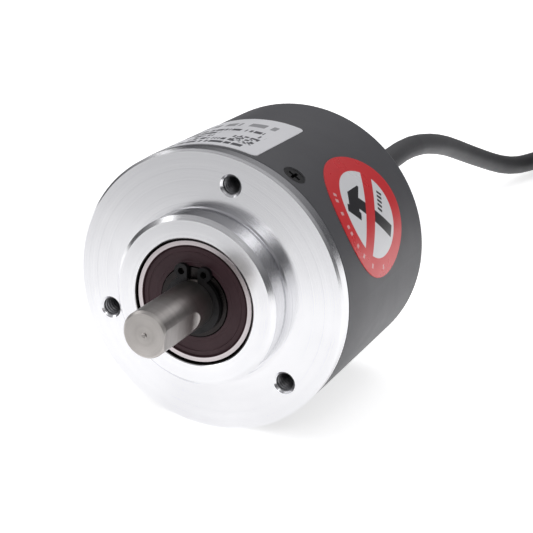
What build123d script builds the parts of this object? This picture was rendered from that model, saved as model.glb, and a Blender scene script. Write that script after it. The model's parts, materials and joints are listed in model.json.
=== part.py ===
from build123d import *
import math
import os

# A rotary encoder for a round flange mount, lying on its side on a flat surface.
# Millimetres. The shaft's axis is Y, with its free end towards -Y, and +Z is up.
# The origin is on that axis, in the plane of the flange's mounting face.
# Angles are taken about Y from +X towards +Z, and radii from the Y axis.

# Driving sizes of the housing
body_dia = 50.0
body_length = 39.0              # from the mounting face to the back of the cover
rim_thick = 2.5                 # the bare metal rim in front of the cover
rim_chamfer = 0.4
joint_chamfer = 0.18            # on both edges of the seam between rim and cover
pilot_dia = 30.0
pilot_height = 5.0
pilot_chamfer = 0.75
undercut_width = 0.5
undercut_depth = 0.3
undercut_in = 0.15              # the relief slants this far under the pilot's side
undercut_front = 0.2
cover_wall = 1.5
cover_back_round = 1.2
cover_clearance = 0.05          # radial, between the cover and the flange's spigot
spigot_end = 11.0               # the back of the flange's solid part
bearing_tube_wall = 3.2

# Driving sizes of the shaft
shaft_dia = 8.0
shaft_reach = 16.0              # from the pilot's face to the shaft's free end
shaft_chamfer = 0.4
flat_length = 10.0
flat_depth = 0.4
flat_angle = -8.0
cutter_r = 6.0                  # radius of the cutter that makes the flat
shoulder_height = 1.0
slip_clearance = 0.02           # radial, what slides on or into a fixed piece

# Mounting holes
hole_count = 3
hole_circle_dia = 40.0
hole_angle = 76.4
hole_core_dia = 3.3             # the bore of an M4 thread
hole_mouth_dia = 4.0
hole_depth = 6.0
drill_point_slope = 0.577       # of a 120 degree drill

# Ball bearings, both alike
bearing_outer_dia = 22.0
bearing_width = 7.0
bearing_chamfer = 0.35
bearing_recess = 0.4            # the front bearing's face below the pilot's face
land_offset = 1.4               # from the balls' circle to each ring's land
seal_seat_wall = 1.4
seal_seat_depth = 0.9
seal_thick = 0.5
seal_recess = 0.12
seal_gap = 0.2                  # from a seal's lip to the turning inner ring
ball_dia = 3.969
ball_count = 7
race_clearance = 0.07
cage_wall = 1.5
cage_front = 1.0                # from the balls' plane to the cage's front
cage_seal_gap = 0.33
pocket_clearance = 0.06
washer_room = 0.7               # for the curved spring washer that preloads the bearings
washer_thick = 0.25
washer_bow = 0.35

# Retaining rings on the shaft
clip_thick = 0.8
clip_groove_depth = 0.2
clip_groove_play = 0.1
clip_wall = 1.6
clip_offset = 0.25              # the outer outline sits this far from the gap
clip_gap_angle = 88.0
clip_gap_width = 2.0
clip_lug_spread = 21.0
clip_lug_offset = 1.95          # from the groove's floor to the lug's middle
clip_lug_dia = 2.6
clip_hole_dia = 1.2

# Code disc and its hub
hub_gap = 0.8                   # from the rear retaining ring to the hub
hub_wall = 3.5
hub_length = 4.2
hub_flange_step = 2.0
hub_flange_thick = 1.0
hub_spigot_wall = 1.2
disc_dia = 33.0
disc_thick = 0.8
disc_bore_clearance = 0.05
clamp_ring_step = 1.0           # the hub's flange reaches this far past the ring
clamp_ring_thick = 0.8
track_count = 5
track_clamp_gap = 2.1           # from the clamp ring to the innermost track
track_edge_gap = 0.4            # from the outermost track to the disc's rim
track_gap = 0.25                # between neighbouring tracks
track_thick = 0.05
set_screw_dia = 2.5
set_screw_length = 2.9
set_screw_socket = 1.3

# Optics and boards
optics_angle = hole_angle + 60.0
bracket_half_width = 4.0
bracket_end_wall = 0.6          # beyond the emitter, towards the axis
bracket_foot_gap = 0.8          # from the disc's rim to the bracket's foot
bracket_outer_radius = 21.2
bracket_arm_thick = 3.0
bracket_gap = 0.8               # from the bracket's arm to the code disc
foot_ear = 4.0                  # each side of the foot reaches this far past the arm
foot_thick = 1.8
foot_screw_aside = 2.0          # from the arm's side to the screw
foot_screw_depth = 4.0
foot_head_dia = 3.6
foot_head_height = 1.2
slot_width = 0.5                # of the slotted and crossed screw heads inside
emitter_dia = 3.0
emitter_step = 2.7              # from the innermost track's inner edge
emitter_pin_dia = 0.5
emitter_pin_pitch = 2.54
mask_half_width = 3.2
mask_slit_count = 7
mask_slit_pitch = 0.8
mask_slit_width = 0.3
mask_slit_length = 3.6
mask_gap = 0.6                  # from the code disc to the mask
mask_thick = 0.4
chip_half_width = 4.0
chip_thick = 1.6
board_thick = 1.6
board_edge_gap = 0.7            # from a board's rim to the cover
board_space = 3.0               # between the two boards
board_bore = 11.0
standoff_circle = 20.3          # radius
standoff_flats = 4.4
stud_dia = 2.4
stud_clearance = 0.05
stud_depth = 2.6
pan_head_dia = 4.2
pan_head_height = 1.3
back_room = 1.1                 # from the board screws to the cover's floor
header_radius = 14.25
header_thick = 2.5
header_length = 12.8
header_pins_count = 5
header_pin_pitch = 2.54
header_pin_size = 0.5
header_pin_height = 0.8         # of what stands out behind the output board
capacitor_size = (2.5, 1.5, 1.8)
capacitor_radius = 10.25

# Cover screws
cover_screw_count = 3
cover_screw_angle = 57.0
cover_screw_place = 5.7         # behind the mounting face
cover_screw_dia = 2.0
cover_screw_head = 4.0
cover_screw_length = 5.6
cross_width = 0.55
cross_span = 2.3
cross_depth = 0.8

# O-ring between the spigot and the cover
ring_groove_start = 7.9
ring_groove_width = 1.6
ring_groove_depth = 1.25
ring_clearance = 0.02

# Label and round sticker, both thin skins on the cover
skin_thick = 0.12
label_edge_angle = 72.5
label_sweep = 104.0
label_start = 3.4
label_end = 23.2
label_corner = 1.0
label_corner_steps = 4
sticker_angle = 28.8
sticker_place = 18.8
sticker_dia = 23.0

# Cable, its strain relief and its far end
cable_dia = 5.0
cable_inside = 2.4              # how far the jacket reaches in past the cover's back
gland_neck_wall = 2.0
gland_collar_wall = 4.0
gland_collar = 1.4
gland_root_wall = 2.2
gland_tip_wall = 1.0
gland_length = 20.0             # the whole outer length, collar and sleeve
gland_groove_depth = 0.7
gland_groove_width = 1.5
gland_grooves = 5
crimp_wall = 1.3
lead_dia = 0.8
lead_count = 5
lead_circle = 1.45              # radius of the leads' circle at the jacket's end
tie_thick = 0.6
tie_width = 3.6
coil_middle_dia = 52.0          # at the middle of the turns
coil_columns = 3
coil_levels = 4
coil_centre = (42.0, 192.0)
sleeve_wall = 0.2
sleeve_length = 9.0
end_lead_dia = 1.1
end_lead_count = 7
lead_strip = 4.0
end_angle = -3.0                # where the jacket ends, round the coil
end_lanes = (3.6, 2.4, -1.2, -3.6, -2.4, 1.2, 0.0)

# The cable's centre line where it isn't coiled: it runs straight back out of the
# gland, sinks under its own weight and turns in to the coil's outermost turn.
cable_route = [
    (0.0, body_length - cable_inside, 0.0),
    (0.0, 67.0, 0.0),
    (-1.4, 98.5, 2.6),
    (-2.4, 128.0, -3.0),
    (-1.2, 153.0, -12.2),
    (3.4, 176.0, -20.8),
    (7.7, 194.5, -21.9),
    (15.2, 207.5, -21.9),
]

# Sizes that follow from the ones above
body_r = body_dia / 2
pilot_r = pilot_dia / 2
shaft_r = shaft_dia / 2
flat_distance = shaft_r - flat_depth
groove_r = shaft_r - clip_groove_depth
cover_inner_r = body_r - cover_wall
spigot_r = cover_inner_r - cover_clearance
cover_floor = body_length - cover_wall
shaft_start = -pilot_height - shaft_reach

bearing_outer_r = bearing_outer_dia / 2
ball_r = ball_dia / 2
ball_circle_r = (shaft_r + bearing_outer_r) / 2
outer_land_r = ball_circle_r + land_offset
inner_land_r = ball_circle_r - land_offset
seal_seat_r = bearing_outer_r - seal_seat_wall
cage_back = bearing_width / 2 - seal_recess - seal_thick - cage_seal_gap
tube_r = bearing_outer_r + bearing_tube_wall

# places along Y, from the cover's floor forwards to the rear bearing
output_back = cover_floor - back_room - pan_head_height
output_front = output_back - board_thick
board_back = output_front - board_space
board_front = board_back - board_thick
mask_front = board_front - chip_thick - mask_thick
disc_back = mask_front - mask_gap
disc_front = disc_back - disc_thick
hub_start = disc_front - hub_length
rear_back = hub_start - hub_gap - clip_thick
rear_seat = rear_back - bearing_width
rear_step = rear_seat - washer_room
tube_end = rear_back + clip_thick + 0.5
front_seat = -pilot_height + bearing_recess
front_back = front_seat + bearing_width
shaft_end = disc_back + clamp_ring_thick + 0.4

hub_r = shaft_r + hub_wall
hub_flange_r = hub_r + hub_flange_step
hub_spigot_r = shaft_r + hub_spigot_wall
clamp_ring_r = hub_flange_r - clamp_ring_step
disc_r = disc_dia / 2
track_inner_r = clamp_ring_r + track_clamp_gap
track_outer_r = disc_r - track_edge_gap
track_pitch = (track_outer_r - track_inner_r + track_gap) / track_count
track_width = track_pitch - track_gap
emitter_r = emitter_dia / 2
emitter_radius = track_inner_r + emitter_step
bracket_inner_radius = emitter_radius - emitter_r - bracket_end_wall
bracket_foot_inner = disc_r + bracket_foot_gap
board_r = cover_inner_r - board_edge_gap

cable_r = cable_dia / 2
gland_bore_r = cable_r + gland_neck_wall
gland_collar_r = cable_r + gland_collar_wall
gland_root_r = cable_r + gland_root_wall
gland_tip_r = cable_r + gland_tip_wall
crimp_r = cable_r + crimp_wall
sleeve_r = cable_r + sleeve_wall
jacket_end = body_length - cable_inside
floor_z = -body_r
coil_turn_r = coil_middle_dia / 2
coil_inner_r = coil_turn_r - coil_columns * cable_r
coil_outer_r = coil_turn_r + coil_columns * cable_r
coil_bottom = floor_z + tie_thick
coil_top = coil_bottom + coil_levels * cable_dia

bodies = {}


def keep(name, *shapes):
    """Writes down one node, made of one solid or of several alike."""
    solids = [solid for shape in shapes for solid in shape.solids()]
    node = solids[0] if len(solids) == 1 else Compound(children=solids)
    node.label = name
    bodies[name] = node
    return node


def turned(points, rounds=None):
    """Turns a closed outline of (radius, place along Y) about the Y axis."""
    face = make_face(Polyline(*points, close=True))
    for index, radius in (rounds or {}).items():
        corner = Vector(*points[index])
        nearest = face.vertices().sort_by_distance(corner)[0]
        face = fillet(nearest, radius)
    return revolve(face, Axis.Y)


def band(inner, outer, start, end):
    """A plain ring or, with no inner radius, a disc."""
    return turned([(inner, start), (outer, start), (outer, end), (inner, end)])


def at_angle(shape, angle):
    """Turns a shape made at +X round the Y axis."""
    return Rot(0, -angle, 0) * shape


def along_y(radius, start, end, distance=0.0, angle=0.0):
    """A cylinder along Y, its own axis at a distance and an angle."""
    rod = Rot(-90, 0, 0) * Cylinder(radius, end - start)
    return at_angle(Pos(distance, (start + end) / 2, 0) * rod, angle)


def along_radius(radius, inner, outer, place):
    """A cylinder that points out along +X, at a place along Y."""
    rod = Rot(0, 90, 0) * Cylinder(radius, outer - inner)
    return Pos((inner + outer) / 2, place, 0) * rod


def block(low, high):
    """A box between two corners."""
    size = [b - a for a, b in zip(low, high)]
    centre = [(a + b) / 2 for a, b in zip(low, high)]
    return Pos(*centre) * Box(*size)


def spaced(count, first=0.0):
    return [first + index * 360.0 / count for index in range(count)]


def hexagon(flats, start, end):
    """A hexagonal prism along Y on the axis."""
    profile = RegularPolygon(flats / 2, 6, major_radius=False)
    prism = extrude(profile, end - start)
    return Pos(0, end, 0) * Rot(90, 0, 0) * prism


# ---- Flange with the bearing tube

def flange_outline():
    bore_r = bearing_outer_r
    lip_r = bore_r - 1.2
    groove_end = ring_groove_start + ring_groove_width
    return [
        (bore_r + 0.3, -pilot_height),
        (pilot_r - pilot_chamfer, -pilot_height),
        (pilot_r, -pilot_height + pilot_chamfer),
        (pilot_r, -undercut_front),
        (pilot_r - undercut_in, undercut_depth),
        (pilot_r + undercut_width, undercut_depth),
        (pilot_r + undercut_width, 0),
        (body_r - rim_chamfer, 0),
        (body_r, rim_chamfer),
        (body_r, rim_thick - joint_chamfer),
        (body_r - joint_chamfer, rim_thick),
        (spigot_r, rim_thick),
        (spigot_r, ring_groove_start),
        (spigot_r - ring_groove_depth, ring_groove_start),
        (spigot_r - ring_groove_depth, groove_end),
        (spigot_r, groove_end),
        (spigot_r, spigot_end - 0.3),
        (spigot_r - 0.3, spigot_end),
        (tube_r, spigot_end),
        (tube_r, tube_end),
        (bore_r + 0.3, tube_end),
        (bore_r, tube_end - 0.3),
        (bore_r, rear_step),
        (lip_r, rear_step),
        (lip_r, front_back),
        (bore_r, front_back),
        (bore_r, -pilot_height + 0.3),
    ]


def tapped_hole():
    """The mounting thread's core with its drill point and countersunk mouth."""
    core_r = hole_core_dia / 2
    mouth_r = hole_mouth_dia / 2
    tool = turned([
        (0, -0.5), (mouth_r + 0.5, -0.5), (core_r, mouth_r - core_r),
        (core_r, hole_depth), (0, hole_depth + core_r * drill_point_slope),
    ])
    return Pos(hole_circle_dia / 2, 0, 0) * tool


flange = turned(flange_outline())
for angle in spaced(hole_count, hole_angle):
    flange -= at_angle(tapped_hole(), angle)
    flange -= along_y(stud_dia / 2 + stud_clearance, spigot_end - stud_depth - 0.4,
                      spigot_end + 1, standoff_circle, angle)
screw_r = cover_screw_dia / 2
screw_head_top = math.sqrt(body_r**2 - (cover_screw_head / 2)**2) - 0.1
screw_tip = screw_head_top - cover_screw_length
for angle in spaced(cover_screw_count, cover_screw_angle):
    hole = along_radius(screw_r + slip_clearance, screw_tip - 0.5, body_r, cover_screw_place)
    flange -= at_angle(hole, angle)
bracket_screw_radius = (bracket_foot_inner + bracket_outer_radius) / 2
bracket_screw_r = cover_screw_dia / 2
for side in (-1, 1):
    foot_hole = along_y(bracket_screw_r + slip_clearance, spigot_end - foot_screw_depth - 0.5,
                        spigot_end + 1, bracket_screw_radius, 0)
    foot_hole = Pos(0, 0, side * (bracket_half_width + foot_screw_aside)) * foot_hole
    flange -= at_angle(foot_hole, optics_angle)
keep("flange_body", flange)


# ---- Cover, its seal and its screws

cover = turned([
    (cover_inner_r, rim_thick),
    (body_r - joint_chamfer, rim_thick),
    (body_r, rim_thick + joint_chamfer),
    (body_r, body_length),
    (gland_bore_r, body_length),
    (gland_bore_r, cover_floor),
    (cover_inner_r, cover_floor),
], {3: cover_back_round, 6: 0.5})

head_r = cover_screw_head / 2
head_gap = 0.08
cone_depth = head_r - screw_r


def countersink():
    """Cut in the cover for one screw: a cone that takes the head, and a hole."""
    mouth = head_r + head_gap
    cone = turned([
        (0, 0), (screw_r + head_gap, 0), (mouth, cone_depth), (mouth, cone_depth + 1.5),
        (0, cone_depth + 1.5),
    ])
    cone = Rot(0, 0, -90) * cone
    cone = Pos(screw_head_top - cone_depth, cover_screw_place, 0) * cone
    return cone + along_radius(screw_r + head_gap, cover_inner_r - 1, body_r, cover_screw_place)


def cover_screw():
    """A countersunk screw with a cross recess, pointing inwards from +X."""
    body = turned([
        (0, -cover_screw_length), (screw_r - 0.3, -cover_screw_length),
        (screw_r, -cover_screw_length + 0.3), (screw_r, -cone_depth), (head_r, 0), (0, 0),
    ])
    body = Pos(screw_head_top, cover_screw_place, 0) * Rot(0, 0, -90) * body
    low = screw_head_top - cross_depth
    high = screw_head_top + 1
    half = cross_width / 2
    span = cross_span / 2
    place = cover_screw_place
    for wide, tall in ((span, half), (half, span)):
        body -= block((low, place - wide, -tall), (high, place + wide, tall))
    return body


screws = []
for angle in spaced(cover_screw_count, cover_screw_angle):
    cover -= at_angle(countersink(), angle)
    screws.append(at_angle(cover_screw(), angle))
keep("cover", cover)
keep("cover_screws", *screws)

ring_section = (ring_groove_depth + cover_clearance) / 2 - ring_clearance
ring_middle = spigot_r - ring_groove_depth + ring_section + ring_clearance
ring_place = ring_groove_start + ring_groove_width / 2
keep("cover_o_ring", Pos(0, ring_place, 0) * Rot(90, 0, 0) * Torus(ring_middle, ring_section))


# ---- Bearings

def race(clearance):
    return Rot(90, 0, 0) * Torus(ball_circle_r, ball_r + clearance)


def bearing(name, place):
    """One sealed ball bearing with its front face at a place along Y."""
    start = 0.0
    end = bearing_width
    middle = bearing_width / 2
    move = Pos(0, place, 0)
    c = bearing_chamfer
    groove = Pos(0, middle, 0) * race(race_clearance)
    outer = turned([
        (seal_seat_r, start), (bearing_outer_r - c, start), (bearing_outer_r, start + c),
        (bearing_outer_r, end - c), (bearing_outer_r - c, end), (seal_seat_r, end),
        (seal_seat_r, end - seal_seat_depth), (outer_land_r, end - seal_seat_depth),
        (outer_land_r, start + seal_seat_depth), (seal_seat_r, start + seal_seat_depth),
    ]) - groove
    inner = turned([
        (shaft_r + c, start), (inner_land_r, start), (inner_land_r, end), (shaft_r + c, end),
        (shaft_r, end - c), (shaft_r, start + c),
    ]) - groove
    keep(name + "_outer_ring", move * outer)
    keep(name + "_inner_ring", move * inner)

    lip_r = inner_land_r + seal_gap
    bead_r = seal_seat_r - 0.75
    seal_r = seal_seat_r - slip_clearance
    for side, face, sign in (("front", start, 1), ("back", end, -1)):
        skin = face + sign * seal_recess
        web = skin + sign * 0.12
        rear = skin + sign * seal_thick
        seal = turned([
            (lip_r, skin), (lip_r + 0.6, skin), (lip_r + 0.75, web), (bead_r - 0.15, web),
            (bead_r, skin), (seal_r, skin), (seal_r, rear), (lip_r, rear),
        ])
        keep(f"{name}_{side}_seal", move * seal)

    balls = []
    cage_inner = ball_circle_r - cage_wall / 2
    cage_outer = ball_circle_r + cage_wall / 2
    cage = band(cage_inner, cage_outer, middle - cage_front, middle + cage_back)
    for angle in spaced(ball_count, 12.0):
        ball = Pos(ball_circle_r, middle, 0) * Sphere(ball_r)
        pocket = along_radius(ball_r + pocket_clearance, cage_inner - 1, cage_outer + 1, middle)
        balls.append(move * at_angle(ball, angle))
        cage -= at_angle(pocket, angle)
    keep(name + "_balls", *balls)
    keep(name + "_cage", move * cage)


bearing("front_bearing", front_seat)
bearing("rear_bearing", rear_seat)


def curved_washer():
    """A ring cut from a sheet that is bent about the X axis."""
    half = bearing_outer_r - 0.3
    bend = (half**2 + washer_bow**2) / (2 * washer_bow)
    low = rear_step + 0.03
    outer = Pos(0, low + bend, 0) * Rot(0, 90, 0) * Cylinder(bend, 40)
    inner = Pos(0, low + bend, 0) * Rot(0, 90, 0) * Cylinder(bend - washer_thick, 40)
    ring = band(outer_land_r + 0.4, half, low, rear_seat - 0.03)
    return ring & (outer - inner)


keep("preload_washer", curved_washer())


# ---- Shaft and its retaining rings

def shaft_shape():
    front_groove = front_seat - clip_thick - clip_groove_play / 2
    rear_groove_end = rear_back + clip_thick + clip_groove_play / 2
    shoulder_r = shaft_r + shoulder_height
    body = turned([
        (0, shaft_start + 0.35), (0.5, shaft_start), (shaft_r - shaft_chamfer, shaft_start),
        (shaft_r, shaft_start + shaft_chamfer), (shaft_r, front_groove),
        (groove_r, front_groove), (groove_r, front_seat + clip_groove_play / 2),
        (shaft_r, front_seat + clip_groove_play / 2), (shaft_r, front_back),
        (shoulder_r, front_back), (shoulder_r, rear_seat - 0.3), (shaft_r, rear_seat - 0.3),
        (shaft_r, rear_back - clip_groove_play / 2),
        (groove_r, rear_back - clip_groove_play / 2), (groove_r, rear_groove_end),
        (shaft_r, rear_groove_end), (shaft_r, shaft_end - 0.3), (shaft_r - 0.3, shaft_end),
        (0, shaft_end),
    ])
    flat = block((flat_distance, shaft_start - 1, -shaft_r),
                 (shaft_r + 1, shaft_start + flat_length - 1.0, shaft_r))
    # the round cutter leaves a curved end where it ran out
    run_out = Pos(flat_distance + cutter_r, shaft_start + flat_length - 1.0, 0)
    run_out = run_out * Cylinder(cutter_r, 2 * shaft_r)
    body -= at_angle(flat, flat_angle)
    body -= at_angle(run_out, flat_angle)
    return body


keep("shaft", shaft_shape())


def retaining_ring(start):
    """An open ring for a shaft groove, with two drilled lugs beside its gap."""
    inner_r = groove_r + slip_clearance
    end = start + clip_thick
    ring = Pos(-clip_offset, 0, 0) * band(0, groove_r + clip_wall - clip_offset, start, end)
    lugs = []
    holes = []
    for side in (-1, 1):
        angle = side * clip_lug_spread
        lugs.append(along_y(clip_lug_dia / 2, start, end, groove_r + clip_lug_offset, angle))
        holes.append(along_y(clip_hole_dia / 2, start - 1, end + 1,
                             groove_r + clip_lug_offset, angle))
    for lug in lugs:
        ring += lug
    for hole in holes:
        ring -= hole
    ring -= along_y(inner_r, start - 1, end + 1)
    half = clip_gap_width / 2
    ring -= block((0, start - 1, -half), (10, end + 1, half))
    return at_angle(ring, clip_gap_angle)


keep("front_retaining_ring", retaining_ring(front_seat - clip_thick))
keep("rear_retaining_ring", retaining_ring(rear_back))


# ---- Code disc on its hub

bore_r = shaft_r + slip_clearance
screw_place = hub_start + 1.6
hub = turned([
    (bore_r, hub_start), (hub_r - 0.3, hub_start), (hub_r, hub_start + 0.3),
    (hub_r, disc_front - hub_flange_thick), (hub_flange_r, disc_front - hub_flange_thick),
    (hub_flange_r, disc_front), (hub_spigot_r, disc_front), (hub_spigot_r, disc_back),
    (bore_r, disc_back),
])
hub -= along_radius(set_screw_dia / 2 + slip_clearance, shaft_r - 1, hub_r + 1, screw_place)
keep("disc_hub", hub)

screw_in = shaft_r + 0.06
set_screw = along_radius(set_screw_dia / 2, screw_in, screw_in + set_screw_length, screw_place)
socket = Pos(screw_in + set_screw_length + 0.01, screw_place, 0) * Rot(0, -90, 0) * extrude(
    RegularPolygon(set_screw_socket / 2, 6, major_radius=False), 1.2)
keep("hub_set_screw", set_screw - socket)

keep("code_disc", band(hub_spigot_r + disc_bore_clearance, disc_r, disc_front, disc_back))
keep("disc_clamp_ring", band(bore_r, clamp_ring_r, disc_back, disc_back + clamp_ring_thick))


def code_windows():
    """Dark sectors of a Gray code, from one wide sector inwards to many outside."""
    sectors = []
    for track in range(track_count):
        inner = track_inner_r + track * track_pitch
        parts = 2**track
        width = 180.0 / parts
        for index in range(parts):
            outline = make_face(Polyline(
                (inner, disc_back), (inner + track_width, disc_back),
                (inner + track_width, disc_back + track_thick),
                (inner, disc_back + track_thick), close=True))
            sector = revolve(outline, Axis.Y, width)
            sectors.append(at_angle(sector, index * 360.0 / parts + width / 2))
    return sectors


keep("code_tracks", *code_windows())


# ---- Light source in front of the disc

arm_back = disc_front - bracket_gap
arm_front = arm_back - bracket_arm_thick
wide = bracket_half_width
foot_wide = wide + foot_ear
head_base = spigot_end + foot_thick
head_top = head_base + foot_head_height
half_slot = slot_width / 2
bracket = block((bracket_foot_inner, spigot_end, -foot_wide),
                (bracket_outer_radius, head_base, foot_wide))
bracket += block((bracket_foot_inner, spigot_end, -wide), (bracket_outer_radius, arm_back, wide))
bracket += block((bracket_inner_radius, arm_front, -wide), (bracket_outer_radius, arm_back, wide))
bracket &= band(0, spigot_r - 0.2, spigot_end, arm_back)
bracket -= along_y(tube_r + 0.3, spigot_end - 1, tube_end + 0.3)
bracket -= along_y(emitter_r + slip_clearance, arm_front - 1, arm_back + 1, emitter_radius)
bracket_screws = []
for side in (-1, 1):
    aside = Pos(bracket_screw_radius, 0, side * (wide + foot_screw_aside))
    bracket -= aside * along_y(bracket_screw_r + 0.1, spigot_end - 1, head_base + 1)
    screw = along_y(bracket_screw_r, spigot_end - foot_screw_depth, head_base)
    screw += along_y(foot_head_dia / 2, head_base, head_top)
    for one, other in ((half_slot, 1.3), (1.3, half_slot)):
        screw -= block((-one, head_top - 0.6, -other), (one, head_top + 1, other))
    bracket_screws.append(at_angle(aside * screw, optics_angle))
keep("emitter_bracket", at_angle(bracket, optics_angle))
keep("emitter_bracket_screws", *bracket_screws)

dome_base = arm_back - 0.6
emitter = along_y(emitter_r, arm_front + 0.2, dome_base, emitter_radius)
dome = Pos(emitter_radius, dome_base, 0) * Sphere(emitter_r - 0.3)
keep("emitter", at_angle(emitter + dome, optics_angle))

pin_r = emitter_pin_dia / 2
pin_aside = emitter_pin_pitch / 2
pin_radius = bracket_outer_radius - 1.4
pin_end = board_back + header_pin_height
pins = [at_angle(Pos(0, 0, side * pin_aside) * along_y(pin_r, arm_back, pin_end, pin_radius),
                 optics_angle) for side in (-1, 1)]
keep("emitter_pins", *pins)


# ---- Sensor chip under its mask

chip_inner = emitter_radius - 3.0
chip_outer = emitter_radius + 3.2
mask = block((chip_inner + 0.4, mask_front, -mask_half_width),
             (chip_outer - 0.4, mask_front + mask_thick, mask_half_width))
slit_reach = mask_slit_length / 2
slit_half = mask_slit_width / 2
for index in range(mask_slit_count):
    place = (index - (mask_slit_count - 1) / 2) * mask_slit_pitch
    mask -= block((emitter_radius - slit_reach, mask_front - 1, place - slit_half),
                  (emitter_radius + slit_reach, mask_front + 1, place + slit_half))
keep("mask_plate", at_angle(mask, optics_angle))
chip = block((chip_inner, mask_front + mask_thick, -chip_half_width),
             (chip_outer, board_front, chip_half_width))
keep("photo_sensor", at_angle(chip, optics_angle))


# ---- Two boards on three columns

hex_hole = stud_dia / 2 + stud_clearance
columns = []
spacers = []
column_screws = []
sensor_board = band(board_bore / 2, board_r, board_front, board_back)
output_board = band(board_bore / 2, board_r, output_front, output_back)
for angle in spaced(hole_count, hole_angle):
    tall = hexagon(standoff_flats, spigot_end, board_front)
    tall += along_y(stud_dia / 2, spigot_end - stud_depth, spigot_end)
    tall -= along_y(hex_hole, board_front - 5.0, board_front + 1)
    short = hexagon(standoff_flats, board_back, output_front)
    short += along_y(stud_dia / 2, board_front - 4.0, board_back)
    short -= along_y(hex_hole, output_front - 2.6, output_front + 1)
    top = output_back + pan_head_height
    screw = along_y(stud_dia / 2, output_front - 2.3, output_back)
    screw += turned([(0, output_back), (pan_head_dia / 2, output_back),
                     (pan_head_dia / 2, top - 0.5), (pan_head_dia / 2 - 0.5, top), (0, top)])
    for one, other in ((1.2, half_slot), (half_slot, 1.2)):
        screw -= block((-one, top - 0.7, -other), (one, top + 1, other))
    move = Pos(standoff_circle, 0, 0)
    columns.append(at_angle(move * tall, angle))
    spacers.append(at_angle(move * short, angle))
    column_screws.append(at_angle(move * screw, angle))
    hole = along_y(hex_hole, board_front - 1, output_back + 1, standoff_circle, angle)
    sensor_board -= hole
    output_board -= hole
for side in (-1, 1):
    pin_hole = Pos(0, 0, side * pin_aside) * along_y(pin_r + 0.1, board_front - 1, board_back + 1,
                                                     pin_radius)
    sensor_board -= at_angle(pin_hole, optics_angle)
keep("sensor_board", sensor_board)
keep("output_board", output_board)
keep("board_columns", *columns)
keep("board_spacers", *spacers)
keep("board_screws", *column_screws)

header_angle = optics_angle + 180.0
header_low = header_radius - header_thick / 2
header = block((header_low, board_back, -header_length / 2),
               (header_low + header_thick, output_front, header_length / 2))
half = header_pin_size / 2
header_pins = []
for index in range(header_pins_count):
    place = (index - (header_pins_count - 1) / 2) * header_pin_pitch
    header_pins.append(block(
        (header_radius - half, output_back, place - half),
        (header_radius + half, output_back + header_pin_height, place + half)))
keep("board_header", at_angle(header, header_angle))
keep("header_pins", *[at_angle(pin, header_angle) for pin in header_pins])


def chip_package(length, width, height, start, distance, angle):
    """A moulded chip with gull legs, standing on a board's back face."""
    body = block((-length / 2, start + 0.15, -width / 2),
                 (length / 2, start + height, width / 2))
    legs = []
    for index in range(4):
        place = (index - 1.5) * 1.27
        for side in (-1, 1):
            near = side * width / 2
            far = near + side * 1.0
            low = min(near, far)
            legs.append(block((place - 0.2, start, low), (place + 0.2, start + 0.35, low + 1.0)))
    for leg in legs:
        body += leg
    return at_angle(Pos(distance, 0, 0) * Rot(0, 90, 0) * body, angle)


driver_angles = (hole_angle + 25.0, hole_angle - 85.0)
keep("driver_chips", *[chip_package(5.0, 4.0, 1.7, output_back, 13.6, a) for a in driver_angles])
long, high, broad = capacitor_size
capacitor = block((capacitor_radius - long / 2, board_back, -broad / 2),
                  (capacitor_radius + long / 2, board_back + high, broad / 2))
capacitor_angles = (hole_angle - 45.0, hole_angle + 165.0, hole_angle + 205.0)
keep("board_capacitors", *[at_angle(capacitor, angle) for angle in capacitor_angles])


# ---- Cable gland, cable, coil and ties

def gland_outline():
    """Half section of the strain relief, with rings cut round its sleeve."""
    collar_end = body_length + gland_collar
    tip = body_length + gland_length
    neck_r = gland_bore_r - slip_clearance
    points = [
        (cable_r, cover_floor), (neck_r, cover_floor), (neck_r, body_length),
        (gland_collar_r, body_length), (gland_collar_r, collar_end - 0.5),
        (gland_collar_r - 0.5, collar_end), (gland_root_r, collar_end),
    ]
    span = tip - collar_end
    slope = (gland_tip_r - gland_root_r) / span
    pitch = (span - 4.0) / gland_grooves
    for index in range(gland_grooves):
        start = collar_end + 2.0 + index * pitch
        end = start + gland_groove_width
        for place, depth in ((start, 0), (start, 1), (end, 1), (end, 0)):
            radius = gland_root_r + slope * (place - collar_end)
            points.append((radius - depth * gland_groove_depth, place))
    points += [(gland_tip_r, tip - 0.4), (gland_tip_r - 0.4, tip), (cable_r, tip)]
    return points


keep("cable_gland", turned(gland_outline()))
keep("cable_crimp", band(cable_r, crimp_r, jacket_end + 0.1, cover_floor))


def rounded_path(points, share=0.45):
    """Straight runs joined by arcs as large as the runs allow; tells the radii."""
    corners = [Vector(*point) for point in points]
    radii = []
    for before, corner, after in zip(corners, corners[1:], corners[2:]):
        turn = (corner - before).get_angle(after - corner)
        shorter = min((corner - before).length, (after - corner).length)
        radii.append(share * shorter / math.tan(math.radians(turn) / 2))
    return FilletPolyline(*corners, radius=radii), radii


def tube(points, radius, share=0.45):
    """A round tube along a rounded path, and the path."""
    path = rounded_path(points, share)[0]
    start = Plane(origin=path @ 0, z_dir=path % 0)
    return sweep(start * Circle(radius), path), path


cable, cable_path = tube(cable_route, cable_r)
cable_radii = rounded_path(cable_route)[1]
keep("cable", cable)
print("cable radii", [round(radius, 1) for radius in cable_radii])
print("cable length", round(cable_path.length, 2))
print("cable volume", round(cable.volume, 1),
      "section times length", round(math.pi * cable_r**2 * cable_path.length, 1))

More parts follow.
